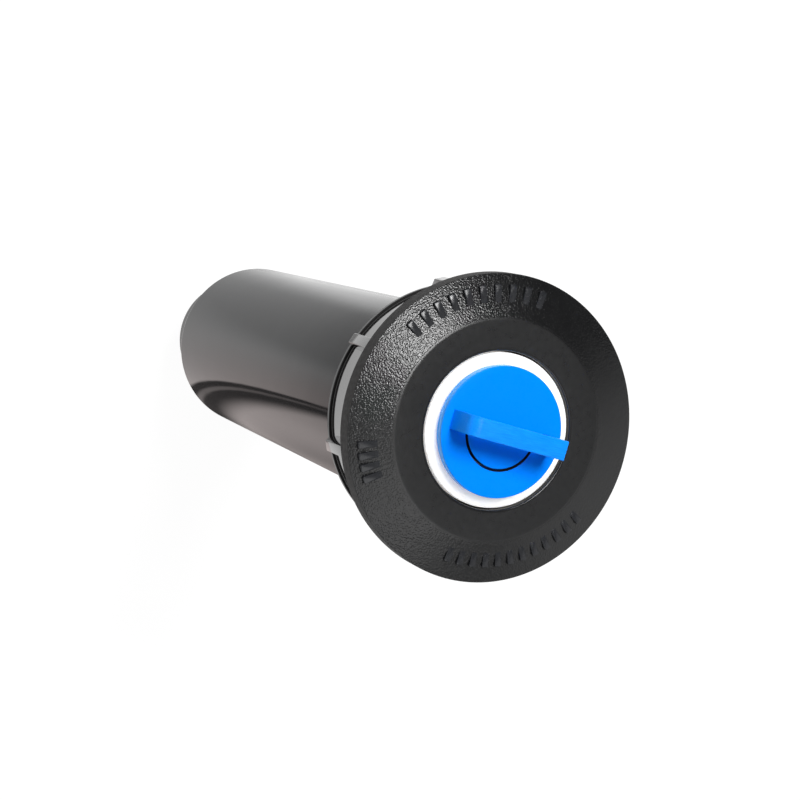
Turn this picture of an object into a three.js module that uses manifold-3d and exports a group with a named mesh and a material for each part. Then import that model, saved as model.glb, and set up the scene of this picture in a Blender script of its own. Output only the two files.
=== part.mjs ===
// Pop-up spray head, 6 in tall, 4 in pop-up, half-inch female inlet.
// Millimetres, +Z up. The origin is the centre of the inlet's bottom face.
import * as THREE from 'three';
import { mergeVertices } from 'three/addons/utils/BufferGeometryUtils.js';
import Module from 'manifold-3d';

const wasm = await Module();
wasm.setup();

// ---- driving dimensions -------------------------------------------------

const FINE = 40; // facets round the outer parts
const COARSE = 36; // facets round the inner parts

const HEIGHT = 152.34; // inlet face to the cap's flat top
const FLANGE_R = 28.5; // cap flange, 2 1/4 in across
const FLANGE_EDGE_TOP = 150.4;
const FLANGE_EDGE_BOTTOM = 146.8;
const ANNULUS_R = 19.9; // flat ring round the riser
const CAP_BORE_R = 14.6;
const CAP_UNDERSIDE = 149.4;
const SKIRT_R = 24.5;
const SKIRT_INNER_R = 22.3;
const SKIRT_BOTTOM = 131.6;
const BEAD_R = 25.1;
const BEAD_TOP = 132.65;
const GRIP_COUNT = 8;
const GRIP_R = 26.75;
const GRIP_WIDTH = 2.1;
const GRIP_BOTTOM = 134.6;
const GRIP_PHASE = 25.6; // degrees

const BODY_TOP_R = 19.94;
const BODY_END_R = 19.25;
const BODY_END = 17.5;
const BODY_WALL = 2.0;
const BODY_FLOOR = 17.8;
const BOSS_R = 14.5;
const NECK_R = 20.2;
const NECK_START = 131.0;
const NECK_TOP = 147.0;
const SPLINE_COUNT = 4;
const SPLINE_R = 16.6;
const SPLINE_WIDTH = 1.6;
const SPLINE_TOP = 134.0;

const INLET_MAJOR_R = 10.6; // half-inch pipe thread, 14 threads per inch
const INLET_MINOR_R = 9.45;
const INLET_PITCH = 1.814;
const INLET_TURNS = 6.5;
const INLET_DEPTH = 15.0;
const INLET_BORE_R = 8.0;

const CAP_PITCH = 4.0;
const CAP_TURNS = 2;
const PLUG_PITCH = 2.5;
const PLUG_TURNS = 1.7;

const GASKET_R = [18.0, 20.4];
const GASKET_Z = [147.3, 149.1];
const SEAL_R = 17.3;
const SEAT_Z = [138.0, 142.3];

const SPRING_R = 15.2;
const SPRING_WIRE = 1.3;
const SPRING_Z = [27.4, 139.9];
const SPRING_COILS = 8;
const SPRING_END_COILS = 0.8;

const RATCHET_Z = [22.7, 27.1];
const RATCHET_R = [14.5, 16.3];
const LUG_R = 16.9;
const PAWL_R = 14.35;

const STEM_R = 12.4;
const STEM_BORE_R = 10.8;
const STEM_BOTTOM = 20.6;
const STEM_TOP = 152.0;
const RING_R = 14.27; // white ring round the plug
const RING_BOTTOM = 149.9;
const SHOULDER_R = 9.9;
const SHOULDER_Z = [139.3, 140.7];
const COUNTERBORE_R = 11.2;
const FOOT_R = 15.8;
const SERRATION_COUNT = 36;
const SERRATION_R = [13.6, 14.2];

const FILTER_R = [9.4, 7.6]; // top and bottom of the basket
const FILTER_Z = [104.5, 143.2];
const FILTER_FLANGE_R = 10.5;
const FILTER_WALL = 1.1;
const FILTER_ROWS = [110.5, 121.0, 131.5];
const FILTER_COLUMNS = 8;
const WINDOW_HEIGHT = 8.0;
const WINDOW_WIDTH = 3.6;

const DISC_R = 12.11;
const DISC_Z = [152.3, 154.1];
const PLUG_SKIRT_R = [7.9, 9.4];
const PLUG_SKIRT_BOTTOM = 143.6;
const SLOT_R = 6.96;
const SLOT_WIDTH = 0.6;
const SLOT_HALF_ANGLE = 80; // degrees each side of +X
const HANDLE_HALF_LENGTH = 10.2;
const HANDLE_HALF_WIDTH = 1.8;
const HANDLE_TOP = 160.6;
const HANDLE_CORNER_R = 1.4;
const HANDLE_LEG = 1.9;
const HANDLE_BAR = 1.8;
const ORING_R = 10.3;
const ORING_WIRE_R = 0.6;
const ORING_Z = 151.0;

// ---- materials ----------------------------------------------------------

function plastic(colour, roughness) {
  return new THREE.MeshStandardMaterial({ color: colour, roughness, metalness: 0 });
}

function glossBlack() {
  return plastic(0x17181a, 0.25);
}

function grainedBlack() {
  return plastic(0x202123, 0.55);
}

function softBlack() {
  return plastic(0x0f0f10, 0.85);
}

function white() {
  return plastic(0xf2f2ee, 0.4);
}

function greyPlastic() {
  return plastic(0xb4b6b8, 0.5);
}

function blue() {
  return plastic(0x0a84f0, 0.35);
}

function stainless() {
  return new THREE.MeshStandardMaterial({ color: 0xc2c4c6, roughness: 0.3, metalness: 1 });
}

// ---- building blocks ----------------------------------------------------

function indexedGeometry(positions, triangles) {
  const geometry = new THREE.BufferGeometry();
  geometry.setAttribute('position', new THREE.Float32BufferAttribute(positions, 3));
  geometry.setIndex(triangles);
  return geometry;
}

function signedVolume(p, tri) {
  let volume = 0;
  for (let i = 0; i < tri.length; i += 3) {
    const a = tri[i] * 3;
    const b = tri[i + 1] * 3;
    const c = tri[i + 2] * 3;
    volume += p[a] * (p[b + 1] * p[c + 2] - p[b + 2] * p[c + 1]);
    volume += p[a + 1] * (p[b + 2] * p[c] - p[b] * p[c + 2]);
    volume += p[a + 2] * (p[b] * p[c + 1] - p[b + 1] * p[c]);
  }
  return volume / 6;
}

// Welds a closed surface, turns it to face outward and makes it a solid.
function solidOf(geometry) {
  const bare = new THREE.BufferGeometry();
  bare.setAttribute('position', geometry.getAttribute('position').clone());
  if (geometry.index) {
    bare.setIndex(Array.from(geometry.index.array));
  }
  const welded = mergeVertices(bare, 1e-4);
  const points = welded.getAttribute('position').array;
  const source = welded.index.array;
  const triangles = [];
  for (let i = 0; i < source.length; i += 3) {
    const [a, b, c] = [source[i], source[i + 1], source[i + 2]];
    if (a !== b && b !== c && c !== a) {
      triangles.push(a, b, c);
    }
  }
  if (signedVolume(points, triangles) < 0) {
    triangles.reverse();
  }
  return new wasm.Manifold(new wasm.Mesh({
    numProp: 3,
    vertProperties: new Float32Array(points),
    triVerts: new Uint32Array(triangles),
  }));
}

// Closed profile of [radius, height] pairs turned round the Z axis.
function turned(profile, facets) {
  const points = profile.map(([r, z]) => new THREE.Vector2(r, z));
  points.push(points[0].clone());
  const geometry = new THREE.LatheGeometry(points, facets);
  geometry.rotateX(Math.PI / 2);
  return solidOf(geometry);
}

// Flat plate: an outline of [radius, height] pairs, centred across its width.
function plate(outline, width, degrees) {
  const shape = new THREE.Shape(outline.map(([r, z]) => new THREE.Vector2(r, z)));
  const geometry = new THREE.ExtrudeGeometry(shape, { depth: width, bevelEnabled: false });
  geometry.rotateX(Math.PI / 2);
  geometry.translate(0, width / 2, 0);
  geometry.rotateZ(THREE.MathUtils.degToRad(degrees));
  return solidOf(geometry);
}

// Skin over a row of equal rings of points, closed at both ends.
function skinned(rings) {
  const size = rings[0].length;
  const positions = rings.flat(2);
  const triangles = [];
  for (let i = 0; i + 1 < rings.length; i += 1) {
    for (let j = 0; j < size; j += 1) {
      const a = i * size + j;
      const b = i * size + ((j + 1) % size);
      triangles.push(a, b, b + size, a, b + size, a + size);
    }
  }
  const last = (rings.length - 1) * size;
  for (let j = 1; j + 1 < size; j += 1) {
    triangles.push(0, j + 1, j, last, last + j, last + j + 1);
  }
  return solidOf(indexedGeometry(positions, triangles));
}

// Right-hand thread ridge: heights are those of the ridge's middle line.
function threadRidge({ rootR, crestR, rootHalf, crestHalf, pitch, start, turns, facets }) {
  const rings = [];
  const steps = Math.round(turns * facets);
  for (let i = 0; i <= steps; i += 1) {
    const angle = (i / facets) * Math.PI * 2;
    const z = start + (pitch * i) / facets;
    const section = [[rootR, -rootHalf], [crestR, -crestHalf], [crestR, crestHalf], [rootR, rootHalf]];
    rings.push(section.map(([r, dz]) => [r * Math.cos(angle), r * Math.sin(angle), z + dz]));
  }
  return skinned(rings);
}

function ringAt(count, make) {
  return Array.from({ length: count }, (_, i) => make((360 * i) / count));
}

function joined(solids) {
  return solids.reduce((a, b) => a.add(b));
}

function bodyWallInner(z) {
  const share = (z - BODY_END) / (NECK_START - BODY_END);
  return BODY_END_R + (BODY_TOP_R - BODY_END_R) * share - BODY_WALL;
}

// ---- pieces -------------------------------------------------------------

function caseBody() {
  const shell = turned([
    [INLET_MAJOR_R, 0], [BOSS_R - 0.6, 0], [BOSS_R, 0.6], [BOSS_R, 14.4], [17.2, 14.9],
    [18.7, 15.9], [BODY_END_R, BODY_END], [BODY_TOP_R, NECK_START], [NECK_R, NECK_START + 0.4],
    [NECK_R, NECK_TOP - 0.4], [NECK_R - 0.4, NECK_TOP], [bodyWallInner(NECK_START), NECK_TOP],
    [bodyWallInner(NECK_START), NECK_START], [bodyWallInner(BODY_FLOOR), BODY_FLOOR],
    [INLET_BORE_R, BODY_FLOOR], [INLET_BORE_R, INLET_DEPTH], [INLET_MAJOR_R, INLET_DEPTH],
  ], FINE);
  const inletThread = threadRidge({
    rootR: INLET_MAJOR_R + 0.4,
    crestR: INLET_MINOR_R,
    rootHalf: 0.72,
    crestHalf: 0.16,
    pitch: INLET_PITCH,
    start: 1.2,
    turns: INLET_TURNS,
    facets: 16,
  });
  const neckThread = threadRidge({
    rootR: NECK_R - 0.3,
    crestR: 21.7,
    rootHalf: 0.95,
    crestHalf: 0.5,
    pitch: CAP_PITCH,
    start: 135.4,
    turns: CAP_TURNS,
    facets: 24,
  });
  const splines = ringAt(SPLINE_COUNT, (degrees) => plate([
    [SPLINE_R, BODY_FLOOR - 0.5], [SPLINE_R + 1.6, BODY_FLOOR - 0.5],
    [SPLINE_R + 1.6, SPLINE_TOP + 1.0], [SPLINE_R, SPLINE_TOP],
  ], SPLINE_WIDTH, degrees));
  return joined([shell, inletThread, neckThread, ...splines]);
}

function cap() {
  const shell = turned([
    [CAP_BORE_R, HEIGHT - 0.4], [CAP_BORE_R, CAP_UNDERSIDE], [SKIRT_INNER_R, CAP_UNDERSIDE],
    [SKIRT_INNER_R, SKIRT_BOTTOM], [BEAD_R, SKIRT_BOTTOM], [BEAD_R, BEAD_TOP], [SKIRT_R, BEAD_TOP],
    [SKIRT_R, FLANGE_EDGE_BOTTOM], [FLANGE_R - 0.3, FLANGE_EDGE_BOTTOM],
    [FLANGE_R, FLANGE_EDGE_BOTTOM + 0.3], [FLANGE_R, FLANGE_EDGE_TOP - 0.2],
    [FLANGE_R - 0.3, FLANGE_EDGE_TOP + 0.05], [ANNULUS_R + 0.9, HEIGHT - 0.14],
    [ANNULUS_R, HEIGHT], [CAP_BORE_R + 0.4, HEIGHT],
  ], FINE);
  const innerThread = threadRidge({
    rootR: SKIRT_INNER_R + 0.4,
    crestR: 20.85,
    rootHalf: 0.95,
    crestHalf: 0.5,
    pitch: CAP_PITCH,
    start: 135.4 + CAP_PITCH / 2,
    turns: CAP_TURNS,
    facets: 24,
  });
  const grips = ringAt(GRIP_COUNT, (degrees) => plate([
    [SKIRT_R - 0.6, BEAD_TOP - 0.4], [BEAD_R - 0.2, BEAD_TOP - 0.3], [GRIP_R, GRIP_BOTTOM],
    [GRIP_R, FLANGE_EDGE_BOTTOM + 0.4], [SKIRT_R - 0.6, FLANGE_EDGE_BOTTOM + 0.4],
  ], GRIP_WIDTH, degrees + GRIP_PHASE));
  return joined([shell, innerThread, ...grips]);
}

function capGasket() {
  const [inner, outer] = GASKET_R;
  const [low, high] = GASKET_Z;
  return turned([
    [inner, low], [outer, low], [outer, high - 0.3], [outer - 0.3, high], [inner, high],
  ], COARSE);
}

// Soft ring with two lips that wipe the riser.
function wiperSeal() {
  return turned([
    [SEAL_R, 142.6], [SEAL_R, 149.1], [14.4, 149.1], [13.8, 149.55], [12.8, 149.55], [12.75, 148.6],
    [13.7, 147.6], [13.7, 146.4], [12.75, 145.3], [12.9, 144.6], [15.0, 145.6], [15.0, 142.6],
  ], COARSE);
}

// Rigid ring that takes the spring's upper end and backs the seal.
function springSeat() {
  const [low, high] = SEAT_Z;
  return turned([
    [13.0, low + 0.6], [14.0, low + 0.6], [14.2, low + 2.2], [16.3, low + 2.2], [16.4, low],
    [SEAL_R, low], [SEAL_R, high], [13.0, high],
  ], COARSE);
}

function retractSpring() {
  const [low, high] = SPRING_Z;
  const wireR = SPRING_WIRE / 2;
  const closed = SPRING_WIRE * 1.06 * SPRING_END_COILS;
  const bottom = low + wireR;
  const top = high - wireR;
  const facets = 16;
  const sides = 6;
  const steps = SPRING_COILS * facets;
  const rings = [];
  for (let i = 0; i <= steps; i += 1) {
    const coil = i / facets;
    const middle = (coil - SPRING_END_COILS) / (SPRING_COILS - 2 * SPRING_END_COILS);
    const share = Math.min(Math.max(middle, 0), 1);
    const endShare = Math.min(coil, SPRING_END_COILS) + Math.max(0, coil - SPRING_COILS + SPRING_END_COILS);
    const z = bottom + (closed * endShare) / SPRING_END_COILS + (top - bottom - 2 * closed) * share;
    const angle = coil * Math.PI * 2;
    const ring = [];
    for (let j = 0; j < sides; j += 1) {
      const turn = (j / sides) * Math.PI * 2;
      const r = SPRING_R + wireR * Math.cos(turn);
      ring.push([r * Math.cos(angle), r * Math.sin(angle), z + wireR * Math.sin(turn)]);
    }
    rings.push(ring);
  }
  return skinned(rings);
}

// Ring that slides on the body's splines; its pawls click on the riser's serrations.
function ratchetRing() {
  const [low, high] = RATCHET_Z;
  const [inner, outer] = RATCHET_R;
  const ring = turned([[inner, low], [outer, low], [outer, high], [inner, high]], COARSE);
  const lugs = [];
  for (let i = 0; i < SPLINE_COUNT; i += 1) {
    for (const side of [-1, 1]) {
      lugs.push(plate([
        [outer - 0.6, low], [LUG_R, low], [LUG_R, high - 0.4], [outer - 0.6, high - 0.4],
      ], 2.4, (360 * i) / SPLINE_COUNT + side * 8.2));
    }
  }
  const pawls = ringAt(2, (degrees) => plate([
    [PAWL_R, low + 1.0], [inner + 0.6, low + 0.6], [inner + 0.6, high - 0.6], [PAWL_R, high - 1.0],
  ], 0.7, degrees + 45));
  return joined([ring, ...lugs, ...pawls]);
}

function serratedHub(low, high) {
  const [valley, crest] = SERRATION_R;
  const outline = [];
  for (let i = 0; i < SERRATION_COUNT * 2; i += 1) {
    const angle = (i / SERRATION_COUNT) * Math.PI;
    const r = i % 2 === 0 ? crest : valley;
    outline.push(new THREE.Vector2(r * Math.cos(angle), r * Math.sin(angle)));
  }
  const shape = new THREE.Shape(outline);
  const hole = new THREE.Path();
  hole.absarc(0, 0, STEM_R - 0.6, 0, Math.PI * 2, true);
  shape.holes.push(hole);
  const geometry = new THREE.ExtrudeGeometry(shape, {
    depth: high - low,
    bevelEnabled: false,
    curveSegments: COARSE,
  });
  geometry.translate(0, 0, low);
  return solidOf(geometry);
}

function riserStem() {
  const tube = turned([
    [STEM_BORE_R, STEM_BOTTOM], [FOOT_R, STEM_BOTTOM], [FOOT_R, STEM_BOTTOM + 1.8],
    [STEM_R, STEM_BOTTOM + 1.8], [STEM_R, RING_BOTTOM], [RING_R, RING_BOTTOM],
    [RING_R, STEM_TOP - 0.3], [RING_R - 0.3, STEM_TOP], [COUNTERBORE_R + 0.2, STEM_TOP],
    [COUNTERBORE_R, STEM_TOP - 0.2], [COUNTERBORE_R, 149.5], [STEM_BORE_R, 149.3],
    [STEM_BORE_R, SHOULDER_Z[1] + 0.2], [SHOULDER_R, SHOULDER_Z[1]], [SHOULDER_R, SHOULDER_Z[0]],
    [STEM_BORE_R, SHOULDER_Z[0] - 0.9],
  ], COARSE);
  const outletThread = threadRidge({
    rootR: STEM_BORE_R + 0.4,
    crestR: 9.95,
    rootHalf: 0.6,
    crestHalf: 0.28,
    pitch: PLUG_PITCH,
    start: 144.8 - PLUG_PITCH / 2,
    turns: PLUG_TURNS,
    facets: 24,
  });
  return joined([tube, serratedHub(STEM_BOTTOM + 1.5, 27.0), outletThread]);
}

function filterBasket() {
  const [bottom, top] = FILTER_Z;
  const [wide, narrow] = FILTER_R;
  const floor = bottom + 1.2;
  const shell = turned([
    [0, bottom], [narrow - 0.4, bottom], [narrow, bottom + 0.4], [wide, 141.0],
    [FILTER_FLANGE_R, 141.2], [FILTER_FLANGE_R, top], [wide - FILTER_WALL, top],
    [wide - FILTER_WALL, 141.0], [narrow - FILTER_WALL, floor], [0, floor],
  ], COARSE);
  const windows = [];
  for (const z of FILTER_ROWS) {
    for (let i = 0; i < FILTER_COLUMNS / 2; i += 1) {
      const cutter = new THREE.BoxGeometry(30, WINDOW_WIDTH, WINDOW_HEIGHT);
      cutter.translate(0, 0, z);
      cutter.rotateZ(((i + 0.5) / FILTER_COLUMNS) * Math.PI * 2);
      windows.push(solidOf(cutter));
    }
  }
  return shell.subtract(joined(windows));
}

function plugSlot() {
  const limit = THREE.MathUtils.degToRad(SLOT_HALF_ANGLE);
  const shape = new THREE.Shape();
  shape.absarc(0, 0, SLOT_R + SLOT_WIDTH / 2, -limit, limit, false);
  shape.absarc(0, 0, SLOT_R - SLOT_WIDTH / 2, limit, -limit, true);
  const geometry = new THREE.ExtrudeGeometry(shape, {
    depth: 4,
    bevelEnabled: false,
    curveSegments: 24,
  });
  geometry.translate(0, 0, DISC_Z[0] - 1);
  return solidOf(geometry);
}

// Strap handle over the disc: rounded corner at -Y, sharp corner at +Y.
function plugHandle() {
  const base = DISC_Z[1] - 0.5;
  const half = HANDLE_HALF_LENGTH;
  const under = HANDLE_TOP - HANDLE_BAR;
  const shape = new THREE.Shape();
  shape.moveTo(-half, base);
  shape.lineTo(-half, HANDLE_TOP - HANDLE_CORNER_R);
  shape.absarc(-half + HANDLE_CORNER_R, HANDLE_TOP - HANDLE_CORNER_R, HANDLE_CORNER_R, Math.PI, Math.PI / 2, true);
  shape.lineTo(half, HANDLE_TOP);
  shape.lineTo(half, base);
  shape.lineTo(half - HANDLE_LEG, base);
  shape.lineTo(half - HANDLE_LEG, under);
  shape.lineTo(-half + HANDLE_LEG + 0.5, under);
  shape.lineTo(-half + HANDLE_LEG, under - 0.5);
  shape.lineTo(-half + HANDLE_LEG, base);
  const geometry = new THREE.ExtrudeGeometry(shape, {
    depth: 2 * HANDLE_HALF_WIDTH,
    bevelEnabled: false,
    curveSegments: 5,
  });
  geometry.rotateX(Math.PI / 2);
  geometry.translate(0, HANDLE_HALF_WIDTH, 0);
  geometry.rotateZ(Math.PI / 2);
  return solidOf(geometry);
}

function flushPlug() {
  const [low, high] = DISC_Z;
  const [inner, outer] = PLUG_SKIRT_R;
  const disc = turned([
    [0, low], [inner, low], [inner, PLUG_SKIRT_BOTTOM], [outer, PLUG_SKIRT_BOTTOM], [outer, low],
    [DISC_R, low], [DISC_R, high - 0.3], [DISC_R - 0.3, high], [0, high],
  ], FINE);
  const thread = threadRidge({
    rootR: outer - 0.4,
    crestR: 10.35,
    rootHalf: 0.6,
    crestHalf: 0.28,
    pitch: PLUG_PITCH,
    start: 144.8,
    turns: PLUG_TURNS,
    facets: 24,
  });
  return joined([disc, thread, plugHandle()]).subtract(plugSlot());
}

function plugOring() {
  const sides = 8;
  const profile = [];
  for (let i = 0; i < sides; i += 1) {
    const turn = (i / sides) * Math.PI * 2;
    profile.push([ORING_R + ORING_WIRE_R * Math.cos(turn), ORING_Z + ORING_WIRE_R * Math.sin(turn)]);
  }
  return turned(profile, COARSE);
}

// ---- assembly -----------------------------------------------------------

function meshOf(name, solid, material) {
  const { vertProperties, triVerts, numProp } = solid.getMesh();
  const positions = [];
  for (let i = 0; i < vertProperties.length; i += numProp) {
    positions.push(vertProperties[i], vertProperties[i + 1], vertProperties[i + 2]);
  }
  const geometry = indexedGeometry(positions, Array.from(triVerts));
  geometry.computeVertexNormals();
  const mesh = new THREE.Mesh(geometry, material);
  mesh.name = name;
  return mesh;
}

const group = new THREE.Group();
group.name = 'pop_up_sprinkler';
group.add(meshOf('case_body', caseBody(), glossBlack()));
group.add(meshOf('cap', cap(), grainedBlack()));
group.add(meshOf('wiper_seal', wiperSeal(), softBlack()));
group.add(meshOf('cap_gasket', capGasket(), softBlack()));
group.add(meshOf('spring_seat', springSeat(), greyPlastic()));
group.add(meshOf('retract_spring', retractSpring(), stainless()));
group.add(meshOf('ratchet_ring', ratchetRing(), greyPlastic()));
group.add(meshOf('riser_stem', riserStem(), white()));
group.add(meshOf('filter_basket', filterBasket(), greyPlastic()));
group.add(meshOf('flush_plug', flushPlug(), blue()));
group.add(meshOf('plug_oring', plugOring(), softBlack()));

export default group;
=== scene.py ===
"""Looks of a pop-up spray head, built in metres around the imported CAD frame. +Z is up."""

import math

import bmesh
import bpy
from mathutils import Matrix, Vector


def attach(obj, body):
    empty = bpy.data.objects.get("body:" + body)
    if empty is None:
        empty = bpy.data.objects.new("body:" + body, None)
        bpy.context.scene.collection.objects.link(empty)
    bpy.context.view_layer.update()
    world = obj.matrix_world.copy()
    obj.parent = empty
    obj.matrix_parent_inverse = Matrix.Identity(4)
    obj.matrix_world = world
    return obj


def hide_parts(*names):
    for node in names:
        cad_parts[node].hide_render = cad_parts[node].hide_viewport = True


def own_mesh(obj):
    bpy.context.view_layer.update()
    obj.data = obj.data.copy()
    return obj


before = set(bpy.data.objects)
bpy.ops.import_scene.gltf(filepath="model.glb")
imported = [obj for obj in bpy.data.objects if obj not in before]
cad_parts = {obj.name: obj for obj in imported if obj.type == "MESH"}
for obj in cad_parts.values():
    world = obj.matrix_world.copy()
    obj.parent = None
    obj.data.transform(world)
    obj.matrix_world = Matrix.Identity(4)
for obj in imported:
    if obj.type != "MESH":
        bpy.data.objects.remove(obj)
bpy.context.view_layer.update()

MM = 0.001
TAU = 2 * math.pi

# ---- driving dimensions in millimetres, as in the CAD ------------------------

FLAT_TOP = 152.34
FLANGE_R = 28.5
CONE_START = (20.9, 152.18)
CAP_BORE_R = 14.6
CAP_UNDERSIDE = 149.4
SKIRT_R = 24.5
SKIRT_INNER_R = 22.3
SKIRT_BOTTOM = 131.6
BEAD_R = 25.1
BEAD_TOP = 132.65
FLANGE_LOW = 146.8
FLANGE_HIGH = 150.4
GRIP_R = 26.75
GRIP_LOW = 134.6
GRIP_WIDTH = 2.1
GRIP_PHASE = 25.6
GRIPS = 8
BODY_TOP_R = 19.94
BODY_END_R = 19.25
BODY_END = 17.5
BODY_FLOOR = 17.8
BODY_WALL = 2.0
BOSS_R = 14.5
BOSS_TOP = 14.5
INLET_R = 10.6
INLET_TOP = 15.0
PASSAGE_R = 8.0
NECK_R = 20.2
NECK_START = 131.0
NECK_TOP = 147.0
CAP_PITCH = 4.0
PLUG_PITCH = 2.5
SEAT_R = 17.3
SEAL_LOW = 142.6
SEAL_HIGH = 149.1
RISER_R = 12.4
RISER_BORE_R = 10.8
RISER_FOOT_R = 15.8
RISER_FOOT = 20.6
OUTLET_R = 11.2
RING_R = 14.27
RING_LOW = 149.9
RING_HIGH = 152.0
HUB_R = (12.2, 13.6)
HUB_HEIGHTS = (22.1, 27.0)
TEETH_R = 14.2
TEETH = 36
PLUG_SKIRT_R = (7.9, 9.4)
PLUG_SKIRT_LOW = 143.6
DISC_R = 12.11
DISC_LOW = 152.3
DISC_HIGH = 154.1
SLOT_R = (6.74, 7.20)
SLOT_HALF_ANGLE = 80
HANDLE_HALF_LENGTH = 10.2
HANDLE_HALF_WIDTH = 1.8
HANDLE_TOP = 160.6
HANDLE_BAR = 1.8
SPRING_LOW = 27.4
SPRING_HIGH = 139.9

# ---- studio: levels, and the band that the case mirrors, in millimetres and degrees ----

SKY_BRIGHT = 0.38
SKY_DARK = 0.01
SKY_DARK_TOWARD = (127, 45)
SKY_DARK_COSINES = (0.80, 0.975)
HORIZON_PALE = 0.50
HORIZON_SINES = (0.08, 0.26)
LAMP_DISTANCE = 1.0
LAMP_TARGET = (0, 0, 0.12)
# name, azimuth, elevation, size in metres, watts
KEY = ("key", 178, 60, 0.50, 12.5)
SHEENS = (
    ("over", 165, 76.5, 0.26, 3.9),
    ("front", 24, 65, 0.55, 1.05),
    ("right", 82, 32, 0.90, 0.9),
)
FLOOR_HALF_SIZE = 6.0
FLOOR_GLOW = 0.95
FLOOR_SHADE = 0.12
# Painted light: emission strengths on the riser's top ring and on the tube below it, lifting their shade.
RING_GLOW = 0.34
RISER_GLOW = 0.09
TABLE_R = 72.0
TABLE_HEIGHT = 0.3
TABLE_SIDES = 96
BAND_START_X = 13.5
BAND_DEGREES = -68.0
BAND_WIDTH = 8.5
BAND_LIGHT = 0.90
BAND_DARK = 0.08

CAMERA_LENS = 83.9
CAMERA_SENSOR = 36
CAMERA_PLACE = (-0.00935, -0.15744, 0.45099)
CAMERA_DEGREES = (-8.720, -23.192, 107.659)

# The part of its range that a noise texture mostly fills.
NOISE_LOW, NOISE_HIGH = 0.3, 0.7


# ---- mesh building ------------------------------------------------------------


def rounded(points, steps=5):
    """Outline of (r, z) or (r, z, fillet) points with each filleted corner turned into an arc."""
    made = []
    count = len(points)
    for i, point in enumerate(points):
        corner = Vector(point[:2])
        radius = point[2] if len(point) > 2 else 0
        if not radius:
            made.append(tuple(corner))
            continue
        before = Vector(points[i - 1][:2]) - corner
        after = Vector(points[(i + 1) % count][:2]) - corner
        half = before.angle(after) / 2
        reach = min(radius / math.tan(half), before.length * 0.49, after.length * 0.49)
        start = corner + before.normalized() * reach
        end = corner + after.normalized() * reach
        for k in range(steps + 1):
            t = k / steps
            made.append(tuple((1 - t) ** 2 * start + 2 * t * (1 - t) * corner + t * t * end))
    return made


def at_angle(r, angle, z):
    return r * math.cos(angle), r * math.sin(angle), z


def lathe(outline, segments):
    """Closed outline of (r, z) turned round Z: (vertices, faces)."""
    count = len(outline)
    verts = []
    index = {}
    for i, (r, z) in enumerate(outline):
        if r < 1e-6:
            index[i] = [len(verts)] * segments
            verts.append((0, 0, z))
            continue
        index[i] = list(range(len(verts), len(verts) + segments))
        verts += [at_angle(r, TAU * k / segments, z) for k in range(segments)]
    faces = []
    for i in range(count):
        j = (i + 1) % count
        for k in range(segments):
            n = (k + 1) % segments
            face = list(dict.fromkeys([index[i][k], index[i][n], index[j][n], index[j][k]]))
            if len(face) > 2:
                faces.append(face)
    return verts, faces


def skinned(rings):
    """Skin over a row of equal rings of points, closed at both ends."""
    size = len(rings[0])
    verts = [p for ring in rings for p in ring]
    faces = []
    for i in range(len(rings) - 1):
        for j in range(size):
            a, b = i * size + j, i * size + (j + 1) % size
            faces.append([a, b, b + size, a + size])
    faces.append(list(range(size))[::-1])
    faces.append([(len(rings) - 1) * size + j for j in range(size)])
    return verts, faces


def thread(root, crest, root_half, crest_half, pitch, start, turns, facets=72):
    """Right-hand ridge whose height fades in and out over its first and last tenth of a turn."""
    rings = []
    steps = round(turns * facets)
    for i in range(steps + 1):
        angle = TAU * i / facets
        z = start + pitch * i / facets
        fade = min(1, i / (0.1 * facets), (steps - i) / (0.1 * facets))
        top = root + (crest - root) * max(fade, 0.02)
        lip = 0.15 * (1 if crest > root else -1)
        section = [
            (root, -root_half), (top - lip, -crest_half - 0.06), (top, -crest_half + 0.06),
            (top, crest_half - 0.06), (top - lip, crest_half + 0.06), (root, root_half),
        ]
        rings.append([at_angle(r, angle, z + dz) for r, dz in section])
    return skinned(rings)


def merged(*parts):
    """Several (vertices, faces) as one."""
    verts, faces = [], []
    for v, f in parts:
        base = len(verts)
        verts += v
        faces += [[base + i for i in face] for face in f]
    return verts, faces


def turned_by(part, degrees):
    turn = Matrix.Rotation(math.radians(degrees), 3, "Z")
    return [tuple(turn @ Vector(v)) for v in part[0]], part[1]


def raised(bm, vector):
    """Extrudes all faces along a vector and makes the normals point outward."""
    grown = bmesh.ops.extrude_face_region(bm, geom=list(bm.faces))
    moved = [g for g in grown["geom"] if isinstance(g, bmesh.types.BMVert)]
    bmesh.ops.translate(bm, verts=moved, vec=vector)
    bmesh.ops.recalc_face_normals(bm, faces=bm.faces)


def sharp_edges(bm, degrees):
    return [e for e in bm.edges if len(e.link_faces) == 2 and e.calc_face_angle() > math.radians(degrees)]


def bevelled(bm, edges, offset, segments):
    """Bevels edges, then ends the bmesh and returns its (vertices, faces)."""
    bmesh.ops.bevel(bm, geom=edges, offset=offset, segments=segments, profile=0.5, affect="EDGES")
    bm.verts.index_update()
    part = [tuple(v.co) for v in bm.verts], [[v.index for v in f.verts] for f in bm.faces]
    bm.free()
    return part


def bevelled_slab(outline, width, bevel, segments=3):
    """Outline of (x, z) pairs given a width along Y, with every sharp edge rounded."""
    bm = bmesh.new()
    bm.faces.new([bm.verts.new((x, -width / 2, z)) for x, z in outline])
    raised(bm, (0, width, 0))
    return bevelled(bm, sharp_edges(bm, 35), bevel, segments)


def linked(name, data):
    obj = bpy.data.objects.new(name, data)
    bpy.context.scene.collection.objects.link(obj)
    return obj


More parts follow.
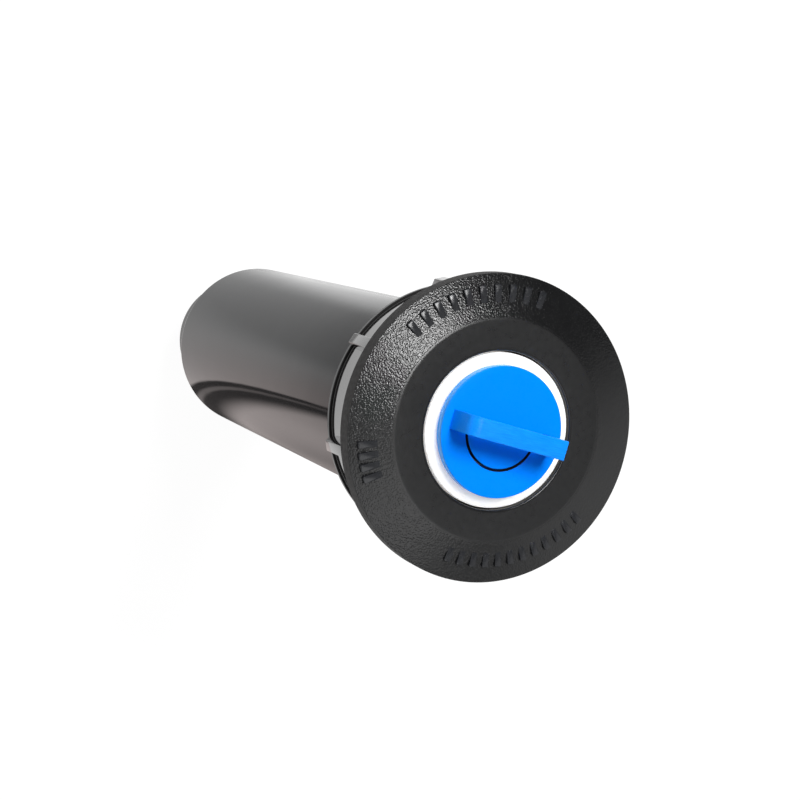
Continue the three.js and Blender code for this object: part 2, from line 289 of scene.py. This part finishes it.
def piece(name, part, body, replaces, material, sharp_degrees=32):
    """Mesh object in metres that rides on a CAD body and may stand for CAD nodes."""
    verts, faces = part
    mesh = bpy.data.meshes.new(name)
    mesh.from_pydata([tuple(c * MM for c in v) for v in verts], [], faces)
    bm = bmesh.new()
    bm.from_mesh(mesh)
    bmesh.ops.remove_doubles(bm, verts=bm.verts, dist=1e-8)
    bmesh.ops.recalc_face_normals(bm, faces=bm.faces)
    bm.to_mesh(mesh)
    bm.free()
    mesh.shade_smooth()
    mesh.set_sharp_from_angle(angle=math.radians(sharp_degrees))
    mesh.materials.append(material)
    obj = linked(name, mesh)
    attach(obj, body)
    if replaces:
        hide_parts(*replaces)
    return obj


# ---- materials ----------------------------------------------------------------


def map_range(tree, value, spans, smooth):
    """Output that goes from out_low to out_high as value goes from low to high."""
    node = tree.nodes.new("ShaderNodeMapRange")
    node.interpolation_type = "SMOOTHSTEP" if smooth else "LINEAR"
    for socket, number in zip(list(node.inputs)[1:5], spans):
        socket.default_value = number
    tree.links.new(value, node.inputs[0])
    return node.outputs[0]


class Nodes:
    """Short way to write a node material. Textures run in the piece's own space, in metres."""

    def __init__(self, name):
        self.material = bpy.data.materials.new(name)
        self.material.use_nodes = True
        self.tree = self.material.node_tree
        self.shader = self.tree.nodes["Principled BSDF"]
        self.place = self.tree.nodes.new("ShaderNodeTexCoord").outputs["Object"]

    def set(self, **values):
        for key, value in values.items():
            self.shader.inputs[key.replace("_", " ")].default_value = value

    def link(self, output, socket):
        self.tree.links.new(output, socket)

    def stretched(self, x, y, z):
        node = self.tree.nodes.new("ShaderNodeMapping")
        node.inputs["Scale"].default_value = (x, y, z)
        self.link(self.place, node.inputs["Vector"])
        return node.outputs["Vector"]

    def noise(self, scale, detail=2.0, rough=0.5, place=None):
        node = self.tree.nodes.new("ShaderNodeTexNoise")
        node.inputs["Scale"].default_value = scale
        node.inputs["Detail"].default_value = detail
        node.inputs["Roughness"].default_value = rough
        self.link(place or self.place, node.inputs["Vector"])
        return node.outputs["Fac"]

    def cells(self, scale):
        node = self.tree.nodes.new("ShaderNodeTexVoronoi")
        node.feature = "SMOOTH_F1"
        node.inputs["Scale"].default_value = scale
        self.link(self.place, node.inputs["Vector"])
        return node.outputs["Distance"]

    def math(self, kind, a, b=0.0):
        node = self.tree.nodes.new("ShaderNodeMath")
        node.operation = kind
        for socket, value in zip(node.inputs, (a, b)):
            if isinstance(value, (int, float)):
                socket.default_value = value
            else:
                self.link(value, socket)
        return node.outputs[0]

    def plus(self, a, b):
        return self.math("ADD", a, b)

    def minus(self, a, b):
        return self.math("SUBTRACT", a, b)

    def times(self, a, b):
        return self.math("MULTIPLY", a, b)

    def span(self, value, low, high, out_low, out_high, smooth=False):
        return map_range(self.tree, value, (low, high, out_low, out_high), smooth)

    def ramp(self, value, low, high, out_low=0, out_high=1):
        return self.span(value, low, high, out_low, out_high, True)

    def blend(self, factor, a, b):
        node = self.tree.nodes.new("ShaderNodeMix")
        node.data_type = "RGBA"
        node.inputs[6].default_value = (*a, 1)
        node.inputs[7].default_value = (*b, 1)
        self.link(factor, node.inputs[0])
        return node.outputs[2]

    def axes(self):
        node = self.tree.nodes.new("ShaderNodeSeparateXYZ")
        self.link(self.place, node.inputs[0])
        return node.outputs

    def radius(self):
        x, y, _ = self.axes()
        return self.math("SQRT", self.plus(self.times(x, x), self.times(y, y)))

    def colour(self, factor, dark, light):
        self.link(self.blend(factor, dark, light), self.shader.inputs["Base Color"])

    def roughness(self, output):
        self.link(output, self.shader.inputs["Roughness"])

    def uneven(self, noise, smooth, rough):
        """Roughness that follows a noise texture."""
        self.roughness(self.span(noise, NOISE_LOW, NOISE_HIGH, smooth, rough))

    def glow(self, strength, colour=None):
        """Emission shader, given a plain strength or a node's output."""
        node = self.tree.nodes.new("ShaderNodeEmission")
        if colour:
            self.link(strength, node.inputs["Strength"])
            self.link(colour, node.inputs["Color"])
        else:
            node.inputs["Strength"].default_value = strength
        return node.outputs[0]

    def show(self, shader):
        self.link(shader, self.tree.nodes["Material Output"].inputs["Surface"])

    def bump(self, height, distance):
        node = self.tree.nodes.new("ShaderNodeBump")
        node.inputs["Distance"].default_value = distance
        node.inputs["Strength"].default_value = 1.0
        self.link(height, node.inputs["Height"])
        self.link(node.outputs["Normal"], self.shader.inputs["Normal"])


def moulded(name, mottle, dark, light, speckle, smooth, rough, grain, depth, **settings):
    """Plastic, rubber or wire whose colour, roughness and surface follow a noise (scale, detail) each."""
    n = Nodes(name)
    n.set(**settings)
    n.colour(n.noise(*mottle), dark, light)
    n.uneven(n.noise(*speckle), smooth, rough)
    n.bump(n.noise(*grain), depth)
    return n.material


def gloss_black():
    """Polished case, with faint draw lines along it and a slow wave in its surface."""
    n = Nodes("gloss_black")
    n.set(IOR=1.45)
    n.colour(n.noise(55, 4), (0.009, 0.0095, 0.0105), (0.014, 0.0145, 0.0155))
    n.uneven(n.noise(1.0, 3, 0.6, n.stretched(700, 700, 30)), 0.05, 0.12)
    n.bump(n.plus(n.noise(90, 1), n.times(n.noise(2600, 2), 0.010)), 0.00003)
    return n.material


def cap_black():
    """Fine grain on the flange's cone, with a smooth lip outside it and a dull flat ring inside it."""
    n = Nodes("cap_black")
    n.set(IOR=1.5)
    radius = n.radius()
    on_cone = n.times(n.ramp(radius, 0.0205, 0.0209), n.ramp(radius, 0.02850, 0.02840))
    on_flat = n.times(n.ramp(radius, 0.0210, 0.0203), n.ramp(radius, 0.0150, 0.0152))
    grain = n.plus(n.span(n.cells(3300), 0.05, 0.60, 0, 1), n.times(n.cells(5400), 0.5))
    fine = n.times(n.noise(5200, 2), 0.03)
    n.bump(n.plus(n.times(grain, on_cone), fine), 0.000029)
    n.colour(n.noise(300, 3), (0.0056, 0.0057, 0.0060), (0.0086, 0.0087, 0.0091))
    base = n.span(n.noise(900, 2), NOISE_LOW, NOISE_HIGH, 0.18, 0.23)
    n.roughness(n.plus(base, n.times(on_flat, 0.09)))
    return n.material


def white_plastic():
    """Riser, whose top ring glows a little, because its shade is almost white in the photo."""
    n = Nodes("white_plastic")
    n.set(Subsurface_Weight=0.8, Subsurface_Radius=(0.0046, 0.0043, 0.0040), Subsurface_Scale=1.0)
    # Painted light: the emission, strongest on the top ring and faint on the tube, lifts their shade, and its
    # warm tint offsets the blue bounce from the disc.
    n.set(Emission_Color=(1, 0.965, 0.91, 1))
    height = n.axes()[2]
    n.link(n.ramp(height, 0.1440, 0.1500, RISER_GLOW, RING_GLOW), n.shader.inputs["Emission Strength"])
    n.colour(n.noise(160, 3), (0.86, 0.855, 0.84), (0.91, 0.905, 0.895))
    n.uneven(n.noise(1.0, 3, 0.6, n.stretched(1500, 1500, 60)), 0.30, 0.46)
    n.bump(n.noise(1600, 2), 0.000012)
    return n.material


def blue_handle():
    """The strap's plastic, with fine lines drawn along the strap."""
    n = Nodes("blue_handle")
    n.set(Specular_IOR_Level=0.16)
    lines = n.noise(1.0, 4, 0.7, n.stretched(5200, 300, 5200))
    n.colour(n.span(lines, 0.35, 0.65, 0, 1), (0.0002, 0.200, 0.86), (0.003, 0.264, 0.92))
    n.uneven(lines, 0.26, 0.42)
    n.bump(lines, 0.00006)
    return n.material


def floor_white():
    """Pale floor with an even glow of its own, like a light table, so that shadows stay faint."""
    n = Nodes("floor_white")
    n.set(Roughness=0.9)
    n.colour(n.noise(3, 2), (0.88, 0.88, 0.88), (0.90, 0.90, 0.90))
    both = n.tree.nodes.new("ShaderNodeMixShader")
    both.inputs[0].default_value = FLOOR_SHADE
    n.link(n.glow(FLOOR_GLOW / (1 - FLOOR_SHADE)), both.inputs[1])
    n.link(n.shader.outputs[0], both.inputs[2])
    n.show(both.outputs[0])
    return n.material


def table_glow():
    """Glow of the table that the case mirrors: palest near the foot, with one dark band, soft outside."""
    n = Nodes("table_glow")
    x, y, _ = n.axes()
    radius = n.radius()
    turn = math.radians(BAND_DEGREES)
    width = BAND_WIDTH * MM
    ahead = n.times(n.minus(x, BAND_START_X * MM), -math.sin(turn))
    past = n.plus(ahead, n.times(y, math.cos(turn)))
    near = n.times(n.ramp(x, -0.016, 0.004, 0.54, 0.78), n.ramp(radius, 0.042, 0.066, 1, 0.68))
    near = n.plus(near, n.ramp(y, -0.012, 0.014, 0, 0.45))
    beyond = n.ramp(y, -0.022, 0.022, 0.90, 0.36)
    side = n.span(past, 0, width, 0, 1)
    plain = n.plus(n.times(near, n.minus(1.0, side)), n.times(beyond, side))
    inner = n.ramp(past, -0.0006, 0.0006, 1, 0)
    outer = n.ramp(past, width * 0.85, width * 1.9)
    middle = n.math("ABSOLUTE", n.minus(past, width * 0.42))
    streak = n.ramp(middle, 0.0003, 0.0014, 0.30, 0)
    band = n.plus(n.math("MAXIMUM", inner, outer), streak)
    strength = n.times(plain, n.plus(n.times(band, BAND_LIGHT), BAND_DARK))
    n.show(n.glow(strength, n.blend(n.ramp(x, -0.010, 0.030), (1, 1, 1), (1, 0.89, 0.87))))
    return n.material


# ---- pieces -------------------------------------------------------------------


def added(obj, *materials):
    """Adds materials to a piece and returns their slots' numbers."""
    slots = []
    for material in materials:
        slots.append(len(obj.data.materials))
        obj.data.materials.append(material)
    return slots


def faces_of(obj):
    """Each face of a piece with the radius and height of its centre in millimetres."""
    for face in obj.data.polygons:
        yield face, face.center.xy.length / MM, face.center.z / MM


def wall_inner(z):
    """Inner radius of the tapered case at a height."""
    share = (z - BODY_END) / (NECK_START - BODY_END)
    return BODY_END_R + (BODY_TOP_R - BODY_END_R) * share - BODY_WALL


def case_shell(material):
    shell = lathe(rounded([
        (INLET_R, 0, 0.25), (BOSS_R, 0, 0.5), (BOSS_R, BOSS_TOP, 0.5), (17.0, 14.8, 1.2),
        (BODY_END_R - 0.02, 17.0, 2.0), (BODY_TOP_R, NECK_START, 0.15), (NECK_R, NECK_START + 0.4, 0.15),
        (NECK_R, NECK_TOP, 0.35), (wall_inner(NECK_START), NECK_TOP, 0.3),
        (wall_inner(NECK_START), NECK_START), (wall_inner(BODY_FLOOR), BODY_FLOOR, 0.8),
        (PASSAGE_R, BODY_FLOOR, 0.3), (PASSAGE_R, INLET_TOP, 0.3), (INLET_R, INLET_TOP, 0.2),
    ]), 192)
    inlet = thread(11.0, 9.45, root_half=0.72, crest_half=0.2, pitch=1.814, start=1.2, turns=6.5)
    neck = thread(NECK_R - 0.3, 21.7, root_half=0.95, crest_half=0.5, pitch=CAP_PITCH, start=135.4, turns=2)
    spline = bevelled_slab([(16.6, 17.3), (18.2, 17.3), (18.2, 135.0), (16.6, 134.0)], 1.6, 0.2)
    splines = [turned_by(spline, 90 * k) for k in range(4)]
    solid = merged(shell, inlet, neck, *splines)
    return piece("case_shell", solid, "case", ["case_body"], material)


def cap_shell(grained, rim, skirt, bead):
    """Cap in one mesh with four finishes, given to its faces by their place and slope."""
    shell = lathe(rounded([
        (CAP_BORE_R, FLAT_TOP, 0.35), (CAP_BORE_R, CAP_UNDERSIDE, 0.2), (SKIRT_INNER_R, CAP_UNDERSIDE, 0.6),
        (SKIRT_INNER_R, SKIRT_BOTTOM, 0.3), (BEAD_R, SKIRT_BOTTOM, 0.25), (BEAD_R, BEAD_TOP, 0.25),
        (SKIRT_R, BEAD_TOP, 0.15), (SKIRT_R, FLANGE_LOW, 0.3), (FLANGE_R, FLANGE_LOW, 0.3),
        (FLANGE_R, FLANGE_HIGH, 0.16), (20.35, FLAT_TOP, 2.2),
    ], 8), 256)
    inner = thread(
        SKIRT_INNER_R + 0.4, 20.85, root_half=0.95, crest_half=0.5, pitch=CAP_PITCH, start=137.4, turns=2,
    )
    outline = [
        (SKIRT_R - 0.6, BEAD_TOP - 0.4), (BEAD_R - 0.2, BEAD_TOP - 0.3), (GRIP_R, GRIP_LOW),
        (GRIP_R, FLANGE_LOW + 0.4), (SKIRT_R - 0.6, FLANGE_LOW + 0.4),
    ]
    grip = bevelled_slab(outline, GRIP_WIDTH, 0.22)
    grips = [turned_by(grip, GRIP_PHASE + 360 / GRIPS * k) for k in range(GRIPS)]
    cap = piece("cap_shell", merged(shell, inner, *grips), "cap", ["cap"], grained)
    on_rim, on_skirt, on_bead = added(cap, rim, skirt, bead)
    for face, radius, height in faces_of(cap):
        if height < FLANGE_LOW + 0.05:
            face.material_index = on_skirt
            if height < BEAD_TOP + 0.02 and radius > SKIRT_R + 0.1:
                face.material_index = on_bead if abs(face.normal.z) < 0.3 else on_rim
        elif radius > FLANGE_R - 0.4 and abs(face.normal.z) < 0.5:
            face.material_index = on_rim
    return cap


def cone_height(r):
    """Height of the flange's cone at a radius."""
    start_r, start_z = CONE_START
    share = (r - start_r) / (FLANGE_R - 0.2 - start_r)
    return start_z + (FLANGE_HIGH + 0.03 - start_z) * share


def cone_pad(centre, half_angle, low, high, rise):
    """Raised pad with round corners, its middle at an angle in degrees; its top is level."""
    middle = (low + high) / 2
    wide, deep = math.radians(half_angle) * middle, (high - low) / 2
    corner = min(wide, deep) * 0.45
    outline = []
    for sx, sy, start in ((1, 1, 0), (-1, 1, 90), (-1, -1, 180), (1, -1, 270)):
        for k in range(7):
            turn = math.radians(start + 15 * k)
            x = sx * (wide - corner) + corner * math.cos(turn)
            outline.append((x, sy * (deep - corner) + corner * math.sin(turn)))
    top = cone_height(middle) + rise
    rings = []
    for inset, z in ((0, cone_height(high) - 0.3), (0, top - 0.14), (0.04, top - 0.05), (0.13, top)):
        ring = []
        for x, y in outline:
            shrink = 1 - inset / math.hypot(x, y)
            ring.append(at_angle(middle + y * shrink, math.radians(centre) + x * shrink / middle, z))
        rings.append(ring)
    return skinned(rings)


def cap_marks(material):
    """Plain raised bars in three groups round the cone."""
    groups = (
        # first angle, step, count, half angle, inner and outer radius, rise
        (-122.6, -6.75, 10, 1.55, 22.4, 26.6, 0.28),
        (-70.4, 4.6, 4, 1.45, 21.4, 26.9, 0.24),
        (-5, 6, 12, 1.45, 21.4, 25.4, 0.20),
    )
    bars = [cone_pad(first + step * k, *pad) for first, step, count, *pad in groups for k in range(count)]
    return piece("cap_marks", merged(*bars), "cap", [], material)


def soft_rings(material):
    """Wiper seal with two lips on the riser, gasket over the case's neck, and the plug's round ring."""
    piece("seal_ring", lathe(rounded([
        (SEAT_R, SEAL_LOW, 0.2), (SEAT_R, SEAL_HIGH, 0.2), (14.4, SEAL_HIGH, 0.1), (13.8, 149.55, 0.1),
        (12.8, 149.55, 0.08), (12.75, 148.6, 0.3), (13.7, 147.6, 0.3), (13.7, 146.4, 0.3),
        (12.75, 145.3, 0.15), (12.9, 144.6, 0.08), (15.0, 145.6, 0.3), (15.0, SEAL_LOW, 0.2),
    ]), 160), "cap", ["wiper_seal"], material)
    piece("gasket_ring", lathe(rounded([
        (18.0, 147.3, 0.4), (20.4, 147.3, 0.4), (20.4, SEAL_HIGH, 0.5), (18.0, SEAL_HIGH, 0.5),
    ]), 160), "carrier", ["cap_gasket"], material)
    middle, wire, height, sides = 10.3, 0.6, 151.0, 24
    turns = [TAU * k / sides for k in range(sides)]
    ring = [(middle + wire * math.cos(turn), height + wire * math.sin(turn)) for turn in turns]
    piece("plug_seal", lathe(ring, 128), "plug_carrier", ["plug_oring"], material)


def seat_ring(material):
    """Hard ring with a groove under it for the spring's upper end."""
    piece("seat_ring", lathe(rounded([
        (13.0, 138.6, 0.2), (14.0, 138.6, 0.2), (14.2, 140.2, 0.15), (16.3, 140.2, 0.15), (16.4, 138.0, 0.1),
        (SEAT_R, 138.0, 0.2), (SEAT_R, 142.3, 0.3), (13.0, 142.3, 0.3),
    ]), 160), "carrier", ["spring_seat"], material)


def coil_spring(material):
    """Round wire with closed end coils."""
    wire, middle, coils, shut, facets, sides = 0.65, 15.2, 8, 0.8, 60, 12
    low, high = SPRING_LOW + wire, SPRING_HIGH - wire
    closed = 2 * wire * 1.06 * shut
    rings = []
    for i in range(coils * facets + 1):
        coil = i / facets
        share = min(max((coil - shut) / (coils - 2 * shut), 0), 1)
        ends = min(coil, shut) + max(0, coil - coils + shut)
        z = low + closed * ends / shut + (high - low - 2 * closed) * share
        angle = TAU * coil
        ring = []
        for j in range(sides):
            turn = TAU * j / sides
            ring.append(at_angle(middle + wire * math.cos(turn), angle, z + wire * math.sin(turn)))
        rings.append(ring)
    wound = skinned(rings)
    spring = piece("coil_spring", wound, "ratchet", ["retract_spring"], material, 60)
    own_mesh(spring)


def upright_box(inner, outer, low, high):
    return [(inner, low), (outer, low), (outer, high), (inner, high)]


def riser_tube(material):
    """Tube with a top ring, an outlet thread, an inner shoulder and a foot with ratchet teeth."""
    tube = lathe(rounded([
        (RISER_BORE_R, RISER_FOOT, 0.3), (RISER_FOOT_R, RISER_FOOT, 0.4), (RISER_FOOT_R, 22.4, 0.3),
        (RISER_R, 22.4, 0.2), (RISER_R, RING_LOW, 0.3), (RING_R, RING_LOW, 0.2), (RING_R, RING_HIGH, 0.3),
        (OUTLET_R, RING_HIGH, 0.2), (OUTLET_R, 149.5), (RISER_BORE_R, 149.3), (RISER_BORE_R, 140.9),
        (9.9, 140.7, 0.1), (9.9, 139.3, 0.1), (RISER_BORE_R, 138.4),
    ]), 192)
    outlet = thread(
        OUTLET_R, 9.95, root_half=0.6, crest_half=0.28, pitch=PLUG_PITCH, start=143.55, turns=1.7,
    )
    hub = lathe(upright_box(*HUB_R, *HUB_HEIGHTS), 144)
    tooth = bevelled_slab(upright_box(HUB_R[0], TEETH_R, *HUB_HEIGHTS), 0.9, 0.15, 1)
    teeth = [turned_by(tooth, 360 / TEETH * k) for k in range(TEETH)]
    solid = merged(tube, outlet, hub, *teeth)
    return piece("riser_tube", solid, "riser", ["riser_stem"], material)


def slotted_disc():
    """Disc with a thin half-round slot through it and rounded edges."""
    radii = [0, 2.4, 4.8, 6.2, SLOT_R[0], SLOT_R[1], 9.0, 10.6, DISC_R]
    steps = 180
    half = round(SLOT_HALF_ANGLE / 360 * steps)
    bm = bmesh.new()
    centre = bm.verts.new((0, 0, DISC_LOW))
    rings = [[bm.verts.new(at_angle(r, TAU * k / steps, DISC_LOW)) for k in range(steps)] for r in radii[1:]]
    for k in range(steps):
        n = (k + 1) % steps
        bm.faces.new([centre, rings[0][k], rings[0][n]])
        for i in range(len(rings) - 1):
            in_slot = radii[i + 1] == SLOT_R[0] and (k < half or k >= steps - half)
            if not in_slot:
                bm.faces.new([rings[i][k], rings[i + 1][k], rings[i + 1][n], rings[i][n]])
    raised(bm, (0, 0, DISC_HIGH - DISC_LOW))
    middle = (DISC_LOW + DISC_HIGH) / 2
    top_edges = [e for e in sharp_edges(bm, 60) if min(v.co.z for v in e.verts) > middle]
    return bevelled(bm, top_edges, 0.22, 4)


def plug_body(flat, side, slot_wall_painted_shade, edge):
    """Disc and threaded skirt in one mesh with four materials, given to its faces by their place and slope: a
    lighter blue on the side as painted light, and black on the slot's walls as painted shade.
    """
    inner, outer = PLUG_SKIRT_R
    top = DISC_LOW + 0.3
    skirt = lathe(rounded([
        (inner, PLUG_SKIRT_LOW, 0.2), (outer, PLUG_SKIRT_LOW, 0.3), (outer, top), (inner, top),
    ]), 128)
    ridge = thread(9.0, 10.35, root_half=0.6, crest_half=0.28, pitch=PLUG_PITCH, start=144.8, turns=1.7)
    solid = merged(slotted_disc(), skirt, ridge)
    plug = piece("plug_body", solid, "plug", ["flush_plug"], flat)
    on_side, in_slot, on_edge = added(plug, side, slot_wall_painted_shade, edge)
    for face, radius, height in faces_of(plug):
        if height > DISC_LOW and radius > DISC_R - 0.25 and face.normal.z < 0.98:
            face.material_index = on_side if face.normal.z < 0.5 else on_edge
        # Painted shade: the slot's walls get black so that the slot reads dark.
        elif height > DISC_LOW + 0.05 and abs(face.normal.z) < 0.3 and radius < SLOT_R[1] + 0.05:
            face.material_index = in_slot
    return plug


def plug_strap(material):
    """Open strap: a leg that leans in at one end, a wide round corner, a flat bar, a straight leg."""
    half, top, base = HANDLE_HALF_LENGTH, HANDLE_TOP, DISC_HIGH - 0.4
    under = top - HANDLE_BAR
    lean, corner, leg = 0.8, 2.3, 1.9
    foot = -half - 0.3
    centre = Vector((foot + lean + corner, top - corner))
    outline = [(foot, base)]
    for k in range(11):
        turn = math.pi - math.pi / 2 * k / 10
        outline.append((centre.x + corner * math.cos(turn), centre.y + corner * math.sin(turn)))
    outline += [
        (half, top), (half, base), (half - leg, base), (half - leg, under), (foot + lean + corner, under),
        (foot + lean + leg, under - (corner - leg) - 0.5), (foot + leg, base),
    ]
    strap = turned_by(bevelled_slab(outline, 2 * HANDLE_HALF_WIDTH, 0.16), 90)
    return piece("plug_strap", strap, "plug", [], material)


# ---- studio -------------------------------------------------------------------


def studio_mesh(name, corners, material):
    """One flat face that belongs to the studio, not to the part."""
    mesh = bpy.data.meshes.new(name)
    mesh.from_pydata(corners, [], [tuple(range(len(corners)))])
    mesh.materials.append(material)
    obj = linked(name, mesh)
    return obj


def floor(material):
    s = FLOOR_HALF_SIZE
    studio_mesh("studio_floor", [(-s, -s, 0), (s, -s, 0), (s, s, 0), (-s, s, 0)], material)


def table_card(material):
    """Round card just over the floor that only reflections see."""
    sides = range(TABLE_SIDES)
    corners = [at_angle(TABLE_R * MM, TAU * k / TABLE_SIDES, TABLE_HEIGHT * MM) for k in sides]
    card = studio_mesh("table_card", corners, material)
    card.visible_camera = False
    card.visible_diffuse = False
    card.visible_transmission = False
    card.visible_shadow = False


def direction(azimuth, elevation):
    a, e = math.radians(azimuth), math.radians(elevation)
    return Vector((math.cos(a) * math.cos(e), math.sin(a) * math.cos(e), math.sin(e)))


def softbox(name, azimuth, elevation, size, watts):
    """Round lamp in a direction from the part, facing it."""
    data = bpy.data.lights.new(name, "AREA")
    data.shape = "DISK"
    data.size = size
    data.energy = watts
    light = linked(name, data)
    out = direction(azimuth, elevation)
    light.location = Vector(LAMP_TARGET) + out * LAMP_DISTANCE
    light.rotation_euler = out.to_track_quat("Z", "Y").to_euler()
    return light


def sky():
    """Even sky with one dark patch, paler at the horizon."""
    world = bpy.data.worlds.new("studio")
    bpy.context.scene.world = world
    world.use_nodes = True
    tree = world.node_tree
    background = tree.nodes["Background"]
    background.inputs["Strength"].default_value = 1.0
    place = tree.nodes.new("ShaderNodeTexCoord").outputs["Generated"]
    toward = tree.nodes.new("ShaderNodeVectorMath")
    toward.operation = "DOT_PRODUCT"
    toward.inputs[1].default_value = direction(*SKY_DARK_TOWARD)
    tree.links.new(place, toward.inputs[0])
    upward = tree.nodes.new("ShaderNodeSeparateXYZ")
    tree.links.new(place, upward.inputs[0])
    patch = map_range(tree, toward.outputs["Value"], (*SKY_DARK_COSINES, SKY_BRIGHT, SKY_DARK), True)
    horizon = map_range(tree, upward.outputs["Z"], (*HORIZON_SINES, HORIZON_PALE, 0), True)
    both = tree.nodes.new("ShaderNodeMath")
    both.operation = "ADD"
    tree.links.new(patch, both.inputs[0])
    tree.links.new(horizon, both.inputs[1])
    tree.links.new(both.outputs[0], background.inputs["Color"])


def studio():
    """Sky, a key lamp that gives no sheen, and lamps that give only sheen."""
    sky()
    softbox(*KEY).visible_glossy = False
    for lamp in SHEENS:
        softbox(*lamp).visible_diffuse = False
    bpy.context.scene.view_settings.view_transform = "Standard"


def camera():
    data = bpy.data.cameras.new("view")
    data.sensor_width = CAMERA_SENSOR
    data.lens = CAMERA_LENS
    data.clip_start = 0.01
    obj = linked("view", data)
    obj.location = CAMERA_PLACE
    obj.rotation_euler = [math.radians(a) for a in CAMERA_DEGREES]
    bpy.context.scene.camera = obj


def dress_cad(node, material):
    """Gives a carried-over CAD node its material."""
    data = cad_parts[node].data
    data.materials.clear()
    data.materials.append(material)


rim_black = moulded(
    "rim_black", (420, 3), (0.014, 0.0135, 0.0135), (0.021, 0.020, 0.020),
    (1300, 2), 0.58, 0.72, (3600, 2), 0.000015, IOR=1.5, Specular_IOR_Level=0.22,
)
skirt_black = moulded(
    "skirt_black", (260, 3), (0.011, 0.0108, 0.011), (0.017, 0.0165, 0.017),
    (1100, 2), 0.06, 0.14, (2600, 2), 0.000006, IOR=1.6, Coat_Weight=1.0, Coat_IOR=1.6, Coat_Roughness=0.05,
)
mark_black = moulded(
    "mark_black", (600, 2), (0.010, 0.0105, 0.0125), (0.015, 0.016, 0.0185),
    (1500, 2), 0.18, 0.28, (2400, 2), 0.000008, IOR=1.5,
)
soft_black = moulded(
    "soft_black", (500, 3), (0.010, 0.010, 0.0105), (0.018, 0.018, 0.0185),
    (2200, 3), 0.55, 0.8, (4200, 2), 0.00002,
)
grey_plastic = moulded(
    "grey_plastic", (240, 3), (0.42, 0.425, 0.44), (0.50, 0.505, 0.52),
    (1100, 2), 0.38, 0.54, (1800, 2), 0.00002,
)
blue_plastic = moulded(
    "blue_plastic", (130, 3), (0.0001, 0.206, 0.91), (0.0002, 0.217, 0.94),
    (800, 2), 0.24, 0.34, (2200, 2), 0.000005, Specular_IOR_Level=0.03,
)
# The disc's side, polished enough to mirror the white ring, in a lighter blue than the top as painted light.
blue_gloss_painted_light = moulded(
    "blue_gloss_painted_light", (130, 3), (0.0001, 0.305, 0.93), (0.0002, 0.330, 0.96),
    (900, 2), 0.10, 0.18, (2200, 2), 0.000004, IOR=1.5,
)
steel_wire = moulded(
    "steel_wire", (700, 3), (0.52, 0.53, 0.54), (0.64, 0.645, 0.65),
    (2500, 2), 0.2, 0.34, (3000, 2), 0.00001, Metallic=1.0,
)
gloss = gloss_black()
handle = blue_handle()

camera()
studio()
floor(floor_white())
table_card(table_glow())
case_shell(gloss)
cap_shell(cap_black(), rim_black, skirt_black, gloss)
cap_marks(mark_black)
soft_rings(soft_black)
seat_ring(grey_plastic)
dress_cad("ratchet_ring", grey_plastic)
dress_cad("filter_basket", grey_plastic)
coil_spring(steel_wire)
riser_tube(white_plastic())
# The disc's side gets a lighter blue as painted light, and the slot's walls get the black rubber as painted
# shade.
plug_body(blue_plastic, blue_gloss_painted_light, soft_black, handle)
plug_strap(handle)

bpy.context.view_layer.update()
